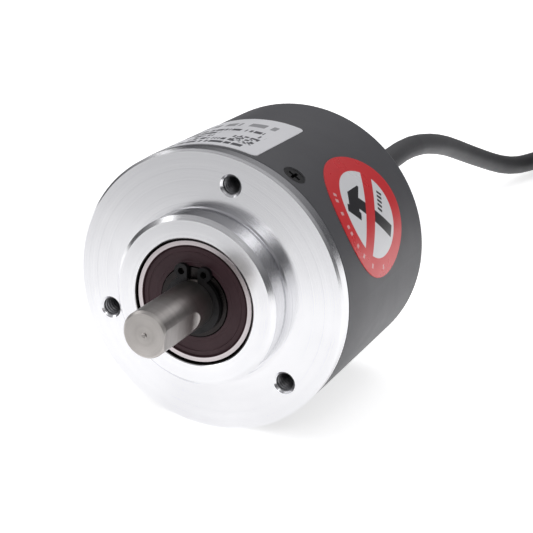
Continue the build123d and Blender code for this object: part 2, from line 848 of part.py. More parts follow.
to_coil = Pos(*coil_centre, 0)
coil_corners = [(coil_inner_r, 0, coil_bottom), (coil_outer_r, 0, coil_bottom),
                (coil_outer_r, 0, coil_top), (coil_inner_r, 0, coil_top)]
coil_profile = make_face(Polyline(*coil_corners, close=True))
for corner in coil_corners:
    nearest = coil_profile.vertices().sort_by_distance(Vector(*corner))[0]
    coil_profile = fillet(nearest, cable_r * 0.9)
keep("cable_coil", to_coil * revolve(coil_profile, Axis.Z))


def tie(angle, over_end):
    """A flat tie round the turns, with its lock outside; one also holds the last turn."""
    air = 0.1
    t = tie_thick
    low = coil_bottom
    high = coil_top + air
    left = coil_inner_r - air
    right = coil_outer_r + air
    inside = [(left, low), (right, low), (right, high)]
    outside = [(left - t, low - t), (right + t, low - t), (right + t, high + t)]
    if over_end:
        crown = high + cable_dia
        inside += [(coil_turn_r + 6.6, crown), (coil_turn_r + 0.6, crown)]
        outside += [(coil_turn_r + 6.8, crown + t), (coil_turn_r + 0.3, crown + t)]
    inside.append((left, high))
    outside.append((left - t, high + t))
    faces = [make_face(Polyline(*[(x, 0, z) for x, z in outline], close=True))
             for outline in (outside, inside)]
    loops = [extrude(face, tie_width / 2, dir=(0, 1, 0), both=True) for face in faces]
    middle = (coil_bottom + coil_top) / 2
    edge = right + t
    lock = block((edge, -2.6, middle - 2.2), (edge + 3.2, 2.6, middle + 2.2))
    lock = chamfer(lock.edges().filter_by(Axis.Y), 0.6)
    return to_coil * Rot(0, 0, angle) * (loops[0] - loops[1] + lock)


keep("cable_ties", tie(70.0, True), tie(250.0, False))


# ---- The cable's far end: sleeve and stripped leads, lying on the coil

lead_r = end_lead_dia / 2
sleeve_z = coil_top + sleeve_r
lead_z = coil_top + lead_r + 0.05


def on_coil(radius, angle, height):
    """A point over the coil, from its own centre and angle."""
    turn = math.radians(angle)
    return (coil_centre[0] + radius * math.cos(turn), coil_centre[1] + radius * math.sin(turn),
            height)


sleeve = Rot(90, 0, 0) * Cylinder(sleeve_r, sleeve_length)
sleeve_middle = end_angle + math.degrees(sleeve_length / 2 / coil_turn_r)
keep("end_sleeve", Pos(*coil_centre, sleeve_z) * Rot(0, 0, sleeve_middle) * Pos(coil_turn_r, 0, 0)
     * sleeve)

end_leads = []
end_tips = []
for index in range(end_lead_count):
    # six leads round one, each heading for its own lane on the turns below
    around = math.radians(60.0 * index)
    middle = index == end_lead_count - 1
    across = 0.0 if middle else 1.25 * math.cos(around)
    above = 0.0 if middle else 1.25 * math.sin(around)
    lane = end_lanes[index]
    route = [
        on_coil(coil_turn_r + across, end_angle - 1.2, sleeve_z + above),
        on_coil(coil_turn_r - 0.6 + 0.5 * across + 0.4 * lane, end_angle - 18.0,
                0.5 * (sleeve_z + above + lead_z)),
        on_coil(coil_turn_r + 0.9 * lane, end_angle - 40.0, lead_z),
        on_coil(coil_turn_r + lane, end_angle - 61.0 + 1.5 * lane, lead_z),
    ]
    wire, wire_path = tube(route, lead_r)
    end_leads.append(wire)
    tip_start = Plane(origin=wire_path @ 1, z_dir=wire_path % 1)
    end_tips.append(extrude(tip_start * Circle(lead_r * 0.6), lead_strip))
keep("end_leads", *end_leads)
keep("end_lead_tips", *end_tips)


# ---- Leads inside the cover, from the jacket to their plug on the output board

plug_angle = hole_angle - 28.0
plug_inner = 9.4
plug = block((plug_inner, output_back, -4.6), (plug_inner + 3.4, output_back + 1.9, 4.6))
keep("lead_plug", at_angle(plug, plug_angle))
bend_place = output_back + lead_dia / 2 + 0.35
inner_leads = []
for index in range(lead_count):
    aside = (index - (lead_count - 1) / 2) * 0.9
    drop = math.sqrt(max(lead_circle**2 - (aside * 0.6)**2, 0.0)) * (1 if index % 2 else -1)
    start = (drop, jacket_end - 0.02, aside * 0.8)
    route = [start, (drop, bend_place, aside * 0.8), (plug_inner - 0.03, bend_place, aside * 1.7)]
    inner_leads.append(at_angle(tube(route, lead_dia / 2, 0.9)[0], plug_angle))
keep("inner_leads", *inner_leads)


# ---- Label and sticker

def skin(cutter):
    """What a cutter keeps of a thin skin on the cover."""
    return band(body_r, body_r + skin_thick, rim_thick + 0.5, body_length - 2) & cutter


def corner_cutter(place, side, inward):
    """What a rounded corner leaves out of a plate, its curve cut in short flats."""
    size = label_corner
    outline = [(place - side * 0.5, -inward * 0.5), (place + side * size, -inward * 0.5)]
    for step in range(label_corner_steps + 1):
        turn = math.pi / 2 * step / label_corner_steps
        outline.append((place + side * size * (1 - math.sin(turn)),
                        inward * size * (1 - math.cos(turn))))
    outline.append((place - side * 0.5, inward * size))
    face = make_face(Polyline(*[(body_r - 3, y, z) for y, z in outline], close=True))
    return extrude(face, 6, dir=(1, 0, 0))


def label_shape():
    """A plate bent round the cover: a ring sector with rounded corners."""
    shell = make_face(Polyline(
        (body_r, label_start), (body_r + skin_thick, label_start),
        (body_r + skin_thick, label_end), (body_r, label_end), close=True))
    plate = at_angle(revolve(shell, Axis.Y, label_sweep), label_edge_angle + label_sweep)
    for angle, inward in ((label_edge_angle, 1), (label_edge_angle + label_sweep, -1)):
        for place, side in ((label_start, 1), (label_end, -1)):
            plate -= at_angle(corner_cutter(place, side, inward), angle)
    return plate


keep("rating_label", label_shape())

sticker_r = sticker_dia / 2
sticker_half_width = body_r * math.sin(sticker_r / body_r)
sticker_tool = extrude(Ellipse(sticker_half_width, sticker_r), body_r + 5)
sticker_tool = Pos(0, sticker_place, 0) * Rot(0, 90, 0) * sticker_tool
keep("round_sticker", at_angle(skin(sticker_tool), sticker_angle))


os.makedirs("parts", exist_ok=True)
for name, node in bodies.items():
    export_step(node, f"parts/{name}.step")
print(len(bodies), "nodes")
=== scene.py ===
import json
import math

import bpy
import numpy as np
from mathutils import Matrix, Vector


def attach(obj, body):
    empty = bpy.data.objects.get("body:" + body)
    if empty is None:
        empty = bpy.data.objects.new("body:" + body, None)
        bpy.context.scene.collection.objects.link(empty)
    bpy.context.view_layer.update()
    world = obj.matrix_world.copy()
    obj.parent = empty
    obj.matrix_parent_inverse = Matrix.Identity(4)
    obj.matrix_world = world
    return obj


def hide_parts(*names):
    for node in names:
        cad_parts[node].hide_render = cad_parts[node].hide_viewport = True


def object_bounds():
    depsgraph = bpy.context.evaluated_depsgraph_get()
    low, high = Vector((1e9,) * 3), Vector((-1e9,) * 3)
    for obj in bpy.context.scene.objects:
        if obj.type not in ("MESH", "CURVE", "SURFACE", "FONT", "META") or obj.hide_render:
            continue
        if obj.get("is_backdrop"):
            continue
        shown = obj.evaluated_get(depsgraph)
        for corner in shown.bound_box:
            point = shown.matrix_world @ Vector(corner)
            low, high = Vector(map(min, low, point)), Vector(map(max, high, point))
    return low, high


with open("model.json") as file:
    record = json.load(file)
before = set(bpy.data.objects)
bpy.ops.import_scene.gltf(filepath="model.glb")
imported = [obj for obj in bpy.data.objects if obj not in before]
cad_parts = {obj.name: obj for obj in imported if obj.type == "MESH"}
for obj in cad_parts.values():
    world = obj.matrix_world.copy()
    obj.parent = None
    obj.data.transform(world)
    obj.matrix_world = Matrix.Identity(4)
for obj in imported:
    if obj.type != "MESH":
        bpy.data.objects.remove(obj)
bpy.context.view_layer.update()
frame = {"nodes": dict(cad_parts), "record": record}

nodes = frame["nodes"]
scene = bpy.context.scene
mounts = {mount["name"]: mount for mount in frame["record"]["mounts"]}
mm = 0.001
print("frame loaded,", len(nodes), "pieces")


# camera

cameraPlan = {
    "place": (0.10365, -0.19417, 0.08163),
    "down": 19.26,
    "turn": 25.463,
    "lens": 93.53,
    "sensor": 36.0,
    "clip": (0.01, 20.0),
}


def makeCamera(plan):
    data = bpy.data.cameras.new("camera")
    data.lens = plan["lens"]
    data.sensor_width = plan["sensor"]
    data.clip_start, data.clip_end = plan["clip"]
    camera = bpy.data.objects.new("camera", data)
    camera.location = plan["place"]
    camera.rotation_euler = (math.radians(90 - plan["down"]), 0, math.radians(plan["turn"]))
    scene.collection.objects.link(camera)
    scene.camera = camera


makeCamera(cameraPlan)


# cable: out of the strain relief, down to the floor, and into its coil

cablePlan = {
    "diameter": 0.005,
    "length": 2.0,
    "run": [(0, 36.6, 0), (0, 67, 0), (-1.4, 98.5, 2.6), (-2.4, 128, -3.0), (-1.2, 153, -12.2),
            (3.4, 176, -20.8), (7.7, 194.5, -21.9)],
    "coilCentre": (42, 192),
    "coilStart": 150.0,
    "outerTurn": 31.0,
    "lowestTurn": -21.9,
    "pitch": 5.0,
    "turns": 11.425,
    "pointsPerTurn": 24,
    "shift": 0.3,
    "inward": (0.7, 1.7, 6.1, 7.1, 11.12),
    "outward": (3.4, 4.4, 8.8, 9.8),
    "climb": (2.7, 5.4, 8.1, 10.8),
}


def ease(share):
    # 3s^2 - 2s^3 of a share kept between 0 and 1
    share = np.clip(share, 0.0, 1.0)
    return share * share * (3.0 - 2.0 * share)


def coilPoints(plan):
    # turns lie side by side; each shifts over to the next column within a part of a turn,
    # and at the last column the cable rolls over its neighbour onto the next level:
    # rise = pitch * sqrt(1 - (1 - share)^2); the radius is that of the turn's flats
    turn = np.arange(0, plan["turns"], 1.0 / plan["pointsPerTurn"])
    turn = np.append(turn, plan["turns"])
    radius = np.full_like(turn, plan["outerTurn"])
    height = np.full_like(turn, plan["lowestTurn"])
    for inward in plan["inward"]:
        radius -= plan["pitch"] * ease((turn - inward) / plan["shift"])
    for outward in plan["outward"]:
        radius += plan["pitch"] * ease((turn - outward) / plan["shift"])
    for climb in plan["climb"]:
        share = ease((turn - climb) / plan["shift"])
        height += plan["pitch"] * np.sqrt(1.0 - (1.0 - share) ** 2)
    radius = radius / math.cos(math.pi / plan["pointsPerTurn"])
    angle = np.radians(plan["coilStart"] - 360.0 * turn)
    return np.stack([plan["coilCentre"][0] + radius * np.cos(angle),
                     plan["coilCentre"][1] + radius * np.sin(angle), height], axis=1)


def makeCable(plan):
    points = np.concatenate([np.array(plan["run"], float), coilPoints(plan)]) * mm
    curve = bpy.data.curves.new("connectionCable", "CURVE")
    curve.dimensions = "3D"
    spline = curve.splines.new("NURBS")
    spline.points.add(len(points) - 1)
    spline.points.foreach_set("co", np.c_[points, np.ones(len(points))].ravel())
    spline.order_u = 3
    spline.use_endpoint_u = True
    spline.resolution_u = 4
    # the curve's measured box grows by its points' radius, so that radius holds the size
    spline.points.foreach_set("radius", np.full(len(points), plan["diameter"] / 2))
    curve.bevel_depth = 1.0
    curve.bevel_resolution = 6
    curve.use_fill_caps = True
    cable = bpy.data.objects.new("connectionCable", curve)
    scene.collection.objects.link(cable)
    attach(cable, "housing")
    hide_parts("cable", "cable_coil")
    return cable


cable = makeCable(cablePlan)
print("cable laid")


# node tools

def addNode(tree, kind, settings=None, **values):
    node = tree.nodes.new(kind)
    for name, value in (settings or {}).items():
        setattr(node, name, value)
    for name, value in values.items():
        plug(tree, node.inputs[name.replace("_", " ")], value)
    return node


def plug(tree, socket, value):
    if isinstance(value, bpy.types.NodeSocket):
        tree.links.new(value, socket)
    else:
        socket.default_value = value


def calc(tree, operation, *values):
    node = tree.nodes.new("ShaderNodeMath")
    node.operation = operation
    for socket, value in zip(node.inputs, values):
        plug(tree, socket, value)
    return node.outputs[0]


def distance(tree, first, second):
    # square root of the sum of the two squares
    return calc(tree, "SQRT", calc(tree, "ADD", calc(tree, "POWER", first, 2.0),
                                   calc(tree, "POWER", second, 2.0)))


def within(tree, value, low, high, soft):
    # 1 between low and high, falling to 0 over soft at each side
    rise = addNode(tree, "ShaderNodeMapRange", {"interpolation_type": "SMOOTHSTEP"}, Value=value,
                   From_Min=low - soft, From_Max=low + soft)
    fall = addNode(tree, "ShaderNodeMapRange", {"interpolation_type": "SMOOTHSTEP"}, Value=value,
                   From_Min=high - soft, From_Max=high + soft)
    return calc(tree, "MULTIPLY", rise.outputs[0], calc(tree, "SUBTRACT", 1.0, fall.outputs[0]))


def mixColours(tree, share, first, second):
    node = tree.nodes.new("ShaderNodeMix")
    node.data_type = "RGBA"
    plug(tree, node.inputs[0], share)
    for socket, colour in ((node.inputs[6], first), (node.inputs[7], second)):
        plug(tree, socket, colour if isinstance(colour, bpy.types.NodeSocket) else (*colour, 1.0))
    return node.outputs[2]


def newGroup(name, inputs, outputs):
    group = bpy.data.node_groups.new(name, "ShaderNodeTree")
    for title, value in inputs.items():
        socket = group.interface.new_socket(title, in_out="INPUT", socket_type="NodeSocketFloat")
        socket.default_value = value
    for title in outputs:
        group.interface.new_socket(title, in_out="OUTPUT", socket_type="NodeSocketFloat")
    return group, group.nodes.new("NodeGroupInput"), group.nodes.new("NodeGroupOutput")


def makeMachiningGroup():
    # lines left by the lathe: by distance from the Y axis on end faces, by Y on round sides
    group, given, result = newGroup("machiningLines", {"Pitch": 0.0002}, ["Lines", "Bands"])
    place = group.nodes.new("ShaderNodeTexCoord")
    at = addNode(group, "ShaderNodeSeparateXYZ", Vector=place.outputs["Object"])
    facing = addNode(group, "ShaderNodeSeparateXYZ", Vector=place.outputs["Normal"])
    across = distance(group, at.outputs[0], at.outputs[2])
    isFace = calc(group, "GREATER_THAN", calc(group, "ABSOLUTE", facing.outputs[1]), 0.6)
    run = addNode(group, "ShaderNodeMix", None)
    plug(group, run.inputs[0], isFace)
    plug(group, run.inputs[2], at.outputs[1])
    plug(group, run.inputs[3], across)
    spot = calc(group, "DIVIDE", run.outputs[0], given.outputs["Pitch"])
    fine = addNode(group, "ShaderNodeTexNoise", {"noise_dimensions": "1D"}, W=spot, Scale=1.0,
                   Detail=2.0)
    wide = addNode(group, "ShaderNodeTexNoise", {"noise_dimensions": "1D"},
                   W=calc(group, "MULTIPLY", spot, 0.11), Scale=1.0, Detail=1.0)
    group.links.new(fine.outputs[0], result.inputs["Lines"])
    group.links.new(wide.outputs[0], result.inputs["Bands"])
    return group


def makeGrainGroup():
    # fine grain and broad uneven patches, both from 0 to 1
    group, given, result = newGroup("grainAndPatches", {"Grain Scale": 3000.0, "Patch Scale": 60.0},
                                    ["Grain", "Patches"])
    place = group.nodes.new("ShaderNodeTexCoord")
    fine = addNode(group, "ShaderNodeTexNoise", None, Vector=place.outputs["Object"],
                   Scale=given.outputs["Grain Scale"], Detail=3.0, Roughness=0.6)
    wide = addNode(group, "ShaderNodeTexNoise", None, Vector=place.outputs["Object"],
                   Scale=given.outputs["Patch Scale"], Detail=4.0, Roughness=0.55, Distortion=0.4)
    group.links.new(fine.outputs[0], result.inputs["Grain"])
    group.links.new(wide.outputs[0], result.inputs["Patches"])
    return group


def makeMarksGroup():
    # sparse short rubs and specks from handling, 0 to 1
    group, given, result = newGroup("handlingMarks", {"Scale": 250.0, "Amount": 0.3}, ["Marks"])
    place = group.nodes.new("ShaderNodeTexCoord")
    lean = addNode(group, "ShaderNodeMapping", None, Vector=place.outputs["Object"])
    lean.inputs["Rotation"].default_value = (0.3, 0.5, 0.9)
    lean.inputs["Scale"].default_value = (1.0, 9.0, 1.0)
    rub = addNode(group, "ShaderNodeTexNoise", None, Vector=lean.outputs[0],
                  Scale=given.outputs["Scale"], Detail=2.0)
    patch = addNode(group, "ShaderNodeTexNoise", None, Vector=place.outputs["Object"],
                    Scale=calc(group, "MULTIPLY", given.outputs["Scale"], 0.25), Detail=1.0)
    keen = addNode(group, "ShaderNodeMapRange", None, Value=rub.outputs[0], From_Min=0.62,
                   From_Max=0.74)
    here = addNode(group, "ShaderNodeMapRange", None, Value=patch.outputs[0], From_Min=0.5,
                   From_Max=0.62)
    both = calc(group, "MULTIPLY", keen.outputs[0], here.outputs[0])
    group.links.new(calc(group, "MULTIPLY", both, given.outputs["Amount"]), result.inputs["Marks"])
    return group


groups = {"machining": makeMachiningGroup(), "grain": makeGrainGroup(), "marks": makeMarksGroup()}


def useGroup(tree, name, **values):
    node = tree.nodes.new("ShaderNodeGroup")
    node.node_tree = groups[name]
    for title, value in values.items():
        plug(tree, node.inputs[title.replace("_", " ")], value)
    return node.outputs


# finishes: two colours that the patches run between, and how deep each texture is

# painted shade: near-black laid into the V-groove where the boss bore meets the bearing's outer
# ring
grooveShadeColour = (0.012, 0.011, 0.011)
# painted shade: a darkened seal colour laid on the bearing steel in the gap at the seal's edge
lipColour = (0.022, 0.011, 0.013)

finishLooks = {
    "turned_aluminium": {"colours": ((0.82, 0.82, 0.835), (0.71, 0.71, 0.73)), "metallic": 1.0,
                         "roughness": (0.17, 0.25), "linePitch": 0.00022, "lineDepth": 0.0000011,
                         "lineTone": 0.16, "grainScale": 2500, "grainDepth": 0.0000006,
                         "patchScale": 45, "marks": 0.05, "anisotropic": 0.5,
                         "groove": (0.01085, 0.01118, -0.0052, -0.0040)},
    "cover_coating": {"colours": ((0.094, 0.094, 0.101), (0.079, 0.079, 0.086)), "metallic": 0.0,
                      "roughness": (0.42, 0.52), "grainScale": 3800, "grainDepth": 0.000006,
                      "patchScale": 60, "marks": 0.12, "specular": 0.3},
    "ground_steel": {"colours": ((0.47, 0.445, 0.43), (0.36, 0.34, 0.325)), "metallic": 1.0,
                     "roughness": (0.3, 0.4), "linePitch": 0.00012, "lineDepth": 0.0000009,
                     "lineTone": 0.10, "grainScale": 5200, "grainDepth": 0.0000004,
                     "patchScale": 160, "marks": 0.08, "anisotropic": 0.4},
    "bearing_steel": {"colours": ((0.58, 0.53, 0.54), (0.46, 0.42, 0.43)), "metallic": 1.0,
                      "roughness": (0.2, 0.3), "linePitch": 0.00015, "lineDepth": 0.0000005,
                      "lineTone": 0.12, "grainScale": 3000, "grainDepth": 0.0000004,
                      "patchScale": 120, "marks": 0.1, "anisotropic": 0.4,
                      "groove": (0.01083, 0.0112, -0.0052, -0.0040),
                      "lip": (0.0094, 0.00992, -0.0052, -0.0040)},
    "seal_rubber": {"colours": ((0.044, 0.018, 0.023), (0.030, 0.012, 0.016)), "metallic": 0.0,
                    "specular": 0.28, "roughness": (0.48, 0.62), "linePitch": 0.0004,
                    "lineDepth": 0.000002, "lineTone": 0.12, "grainScale": 4000,
                    "grainDepth": 0.000004, "patchScale": 140, "marks": 0.15},
    "black_rubber": {"colours": ((0.026, 0.026, 0.028), (0.017, 0.017, 0.018)), "metallic": 0.0,
                     "roughness": (0.5, 0.66), "grainScale": 2600, "grainDepth": 0.00001,
                     "patchScale": 120, "marks": 0.1},
    "phosphated_steel": {"colours": ((0.018, 0.017, 0.018), (0.010, 0.010, 0.011)),
                         "metallic": 0.7, "roughness": (0.32, 0.5), "grainScale": 5000,
                         "grainDepth": 0.000004, "patchScale": 500, "marks": 0.5},
    "screw_steel": {"colours": ((0.016, 0.016, 0.017), (0.009, 0.009, 0.010)), "metallic": 0.3,
                    "roughness": (0.22, 0.36), "grainScale": 4200, "grainDepth": 0.000003,
                    "patchScale": 600, "marks": 0.5},
    "bright_steel": {"colours": ((0.66, 0.66, 0.67), (0.52, 0.52, 0.54)), "metallic": 1.0,
                     "roughness": (0.24, 0.38), "linePitch": 0.0002, "lineDepth": 0.000001,
                     "lineTone": 0.1, "grainScale": 3000, "grainDepth": 0.000001,
                     "patchScale": 200, "marks": 0.3},
    "cage_nylon": {"colours": ((0.74, 0.66, 0.48), (0.62, 0.55, 0.40)), "metallic": 0.0,
                   "roughness": (0.42, 0.55), "grainScale": 2200, "grainDepth": 0.000008,
                   "patchScale": 160, "marks": 0.1},
    "track_chrome": {"colours": ((0.26, 0.26, 0.28), (0.18, 0.18, 0.2)), "metallic": 1.0,
                     "roughness": (0.12, 0.2), "grainScale": 3000, "grainDepth": 0.0000005,
                     "patchScale": 200, "marks": 0.1},
    "bracket_plastic": {"colours": ((0.036, 0.036, 0.040), (0.026, 0.026, 0.03)), "metallic": 0.0,
                        "roughness": (0.4, 0.52), "grainScale": 2600, "grainDepth": 0.000008,
                        "patchScale": 140, "marks": 0.1},
    "emitter_resin": {"colours": ((0.17, 0.13, 0.26), (0.12, 0.09, 0.2)), "metallic": 0.0,
                      "roughness": (0.1, 0.2), "grainScale": 1500, "grainDepth": 0.000001,
                      "patchScale": 200, "marks": 0.1},
    "board_laminate": {"colours": ((0.015, 0.13, 0.055), (0.010, 0.10, 0.04)), "metallic": 0.0,
                       "roughness": (0.28, 0.4), "grainScale": 1800, "grainDepth": 0.000006,
                       "patchScale": 260, "marks": 0.1},
    "chip_epoxy": {"colours": ((0.028, 0.028, 0.030), (0.018, 0.018, 0.02)), "metallic": 0.0,
                   "roughness": (0.5, 0.62), "grainScale": 5200, "grainDepth": 0.000006,
                   "patchScale": 300, "marks": 0.1},
    "capacitor_ceramic": {"colours": ((0.50, 0.36, 0.20), (0.42, 0.30, 0.17)), "metallic": 0.0,
                          "roughness": (0.4, 0.5), "grainScale": 4200, "grainDepth": 0.000003,
                          "patchScale": 500, "marks": 0.1},
    "plug_nylon": {"colours": ((0.82, 0.80, 0.72), (0.74, 0.72, 0.64)), "metallic": 0.0,
                   "roughness": (0.36, 0.48), "grainScale": 2600, "grainDepth": 0.000006,
                   "patchScale": 200, "marks": 0.1},
    "contact_metal": {"colours": ((0.80, 0.62, 0.28), (0.66, 0.5, 0.22)), "metallic": 1.0,
                      "roughness": (0.2, 0.3), "grainScale": 3000, "grainDepth": 0.000001,
                      "patchScale": 300, "marks": 0.2},
    "lead_insulation": {"colours": ((0.44, 0.05, 0.04), (0.34, 0.04, 0.035)), "metallic": 0.0,
                        "roughness": (0.34, 0.46), "grainScale": 2600, "grainDepth": 0.000003,
                        "patchScale": 260, "marks": 0.1},
    "cable_jacket": {"colours": ((0.074, 0.074, 0.078), (0.058, 0.058, 0.061)), "metallic": 0.0,
                     "roughness": (0.52, 0.64), "grainScale": 2400, "grainDepth": 0.000012,
                     "patchScale": 90, "marks": 0.1},
    "tie_nylon": {"colours": ((0.040, 0.040, 0.041), (0.028, 0.028, 0.03)), "metallic": 0.0,
                  "roughness": (0.34, 0.46), "grainScale": 2200, "grainDepth": 0.000008,
                  "patchScale": 160, "marks": 0.2},
    "tinned_copper": {"colours": ((0.74, 0.72, 0.69), (0.6, 0.58, 0.55)), "metallic": 1.0,
                      "roughness": (0.24, 0.36), "grainScale": 6000, "grainDepth": 0.000006,
                      "patchScale": 500, "marks": 0.2},
}


def startFinish(name):
    material = bpy.data.materials.new(name)
    material.use_nodes = True
    tree = material.node_tree
    return material, tree, tree.nodes["Principled BSDF"]


def grooveMask(tree, inner, outer, front, back, soft=0.00004):
    # painted shade over the band between the two radii and the two places along Y, standing in for
    # the shade that falls in a groove or gap
    place = tree.nodes.new("ShaderNodeTexCoord")
    at = addNode(tree, "ShaderNodeSeparateXYZ", Vector=place.outputs["Object"])
    reach = distance(tree, at.outputs[0], at.outputs[2])
    return calc(tree, "MULTIPLY", within(tree, reach, inner, outer, soft),
                within(tree, at.outputs[1], front, back, soft))


def makeFinish(name, look):
    material, tree, shader = startFinish(name)
    grain = useGroup(tree, "grain", Grain_Scale=look["grainScale"], Patch_Scale=look["patchScale"])
    marks = useGroup(tree, "marks", Amount=look["marks"])["Marks"]
    share = calc(tree, "ADD", calc(tree, "MULTIPLY", grain["Patches"], 0.75),
                 calc(tree, "MULTIPLY", grain["Grain"], 0.25))
    height = calc(tree, "MULTIPLY", grain["Grain"], look["grainDepth"])
    if "linePitch" in look:
        lines = useGroup(tree, "machining", Pitch=look["linePitch"])
        tone = calc(tree, "MULTIPLY", calc(tree, "SUBTRACT", lines["Lines"], 0.5),
                    look["lineTone"] * 4.0)
        share = calc(tree, "ADD", share, tone)
        share = calc(tree, "ADD", share, calc(tree, "MULTIPLY",
                                              calc(tree, "SUBTRACT", lines["Bands"], 0.5), 0.5))
        height = calc(tree, "ADD", height,
                      calc(tree, "MULTIPLY", lines["Lines"], look["lineDepth"]))
    share = addNode(tree, "ShaderNodeMapRange", None, Value=share, From_Min=0.25,
                    From_Max=0.75).outputs[0]
    colour = mixColours(tree, share, *look["colours"])
    lighter = tuple(min(1.0, c * 1.5 + 0.02) for c in look["colours"][0])
    colour = mixColours(tree, calc(tree, "MULTIPLY", marks, 0.6), colour, lighter)
    smooth, rough = look["roughness"]
    finish = addNode(tree, "ShaderNodeMapRange", None, Value=grain["Patches"], From_Min=0.3,
                     From_Max=0.7, To_Min=smooth, To_Max=rough).outputs[0]
    finish = calc(tree, "ADD", finish, calc(tree, "MULTIPLY", marks, 0.15))
    bump = addNode(tree, "ShaderNodeBump", None, Height=height, Distance=1.0, Strength=1.0)
    # painted shade in the V-groove at the bearing's edge
    if "groove" in look:
        colour = mixColours(tree, grooveMask(tree, *look["groove"]), colour, grooveShadeColour)
    # painted shade in the gap at the seal's edge
    if "lip" in look:
        colour = mixColours(tree, grooveMask(tree, *look["lip"]), colour, lipColour)
    tree.links.new(colour, shader.inputs["Base Color"])
    tree.links.new(finish, shader.inputs["Roughness"])
    tree.links.new(bump.outputs[0], shader.inputs["Normal"])
    shader.inputs["Metallic"].default_value = look["metallic"]
    shader.inputs["Specular IOR Level"].default_value = look.get("specular", 0.5)
    if "anisotropic" in look:
        around = addNode(tree, "ShaderNodeTangent", {"direction_type": "RADIAL", "axis": "Y"})
        tree.links.new(around.outputs[0], shader.inputs["Tangent"])
        shader.inputs["Anisotropic"].default_value = look["anisotropic"]
    return material


def makeGlass():
    # clear disc with a faint smear of fingerprints in its gloss
    material, tree, shader = startFinish("disc_glass")
    grain = useGroup(tree, "grain", Grain_Scale=900.0, Patch_Scale=120.0)
    finish = addNode(tree, "ShaderNodeMapRange", None, Value=grain["Patches"], To_Min=0.02,
                     To_Max=0.12).outputs[0]
    tree.links.new(finish, shader.inputs["Roughness"])
    shader.inputs["Base Color"].default_value = (0.82, 0.9, 0.92, 1.0)
    shader.inputs["Transmission Weight"].default_value = 1.0
    shader.inputs["IOR"].default_value = 1.5
    return material


# prints on the two films; across and along are measured square to the sticker's bar and
# along it, on the label they run round the cover and along Y

printPlan = {
    "coverRadius": 0.025,
    "edge": 0.00006,
    "stickerAngle": 28.8,
    "stickerPlace": 0.0188,
    "discRadius": 0.0081,
    "barWidth": 0.0028,
    "handleWidth": 0.0024,
    "handleReach": (-0.0050, 0.0072),
    "headAcross": -0.0048,
    "headHalf": 0.0014,
    "headStep": 0.0005,
    "headClaw": (-0.0040, -0.0010),
    "clawHalf": 0.0002,
    "headFace": (0.0018, 0.0034),
    "clawDroop": 0.0018,
    "codeAcross": (0.0024, 0.0038),
    "codeAlong": (-0.0060, -0.0016),
    "codePitch": 0.00088,
    "codeFill": (0.22, 0.78),
    "dashRadius": (0.0094, 0.0102),
    "lettersPerRadian": 8.0,
    "lettersSwing": (-3.1, -0.9),
    "letterFill": (0.25, 0.75),
    "letterGaps": 0.3,
    "areaEdge": 0.00005,
    "labelEdge": 72.5,
    "labelSide": 0.0034,
    "rowFirst": 0.0012,
    "rowPitch": 0.0022,
    "strokePitch": 0.00028,
    "wordPitch": 0.0037,
    "rowFill": (0.16, 0.76),
    "gaps": {"fine": 0.30, "word": 0.16, "block": 0.45, "large": 0.35},
    "ink": {"fine": 0.96, "large": 0.62},
    "fineAcross": (0.0025, 0.0420),
    "fineAlong": (0.0014, 0.0124),
    "blockPitch": 0.0004,
    "blockAcross": (0.0028, 0.0068),
    "blockAlong": (0.0036, 0.0076),
    "largePitch": 0.00052,
    "largeAcross": (0.0030, 0.0260),
    "largeAlong": (0.0140, 0.0162),
}


def skinPlace(tree, edgeAngle, side):
    # arc length round the cover from an angle, and distance along Y from a side
    place = tree.nodes.new("ShaderNodeTexCoord")
    at = addNode(tree, "ShaderNodeSeparateXYZ", Vector=place.outputs["Object"])
    angle = calc(tree, "ARCTAN2", at.outputs[2], at.outputs[0])
    round_ = calc(tree, "MULTIPLY", calc(tree, "SUBTRACT", angle, math.radians(edgeAngle)),
                  printPlan["coverRadius"])
    return round_, calc(tree, "SUBTRACT", at.outputs[1], side)


def finishSkin(tree, shader, colour, roughness, bumpDepth):
    grain = useGroup(tree, "grain", Grain_Scale=2600.0, Patch_Scale=160.0)
    finish = addNode(tree, "ShaderNodeMapRange", None, Value=grain["Patches"], From_Min=0.3,
                     From_Max=0.7, To_Min=roughness[0], To_Max=roughness[1]).outputs[0]
    bump = addNode(tree, "ShaderNodeBump", None, Distance=1.0, Strength=1.0,
                   Height=calc(tree, "MULTIPLY", grain["Patches"], bumpDepth))
    tree.links.new(colour, shader.inputs["Base Color"])
    tree.links.new(finish, shader.inputs["Roughness"])
    tree.links.new(bump.outputs[0], shader.inputs["Normal"])


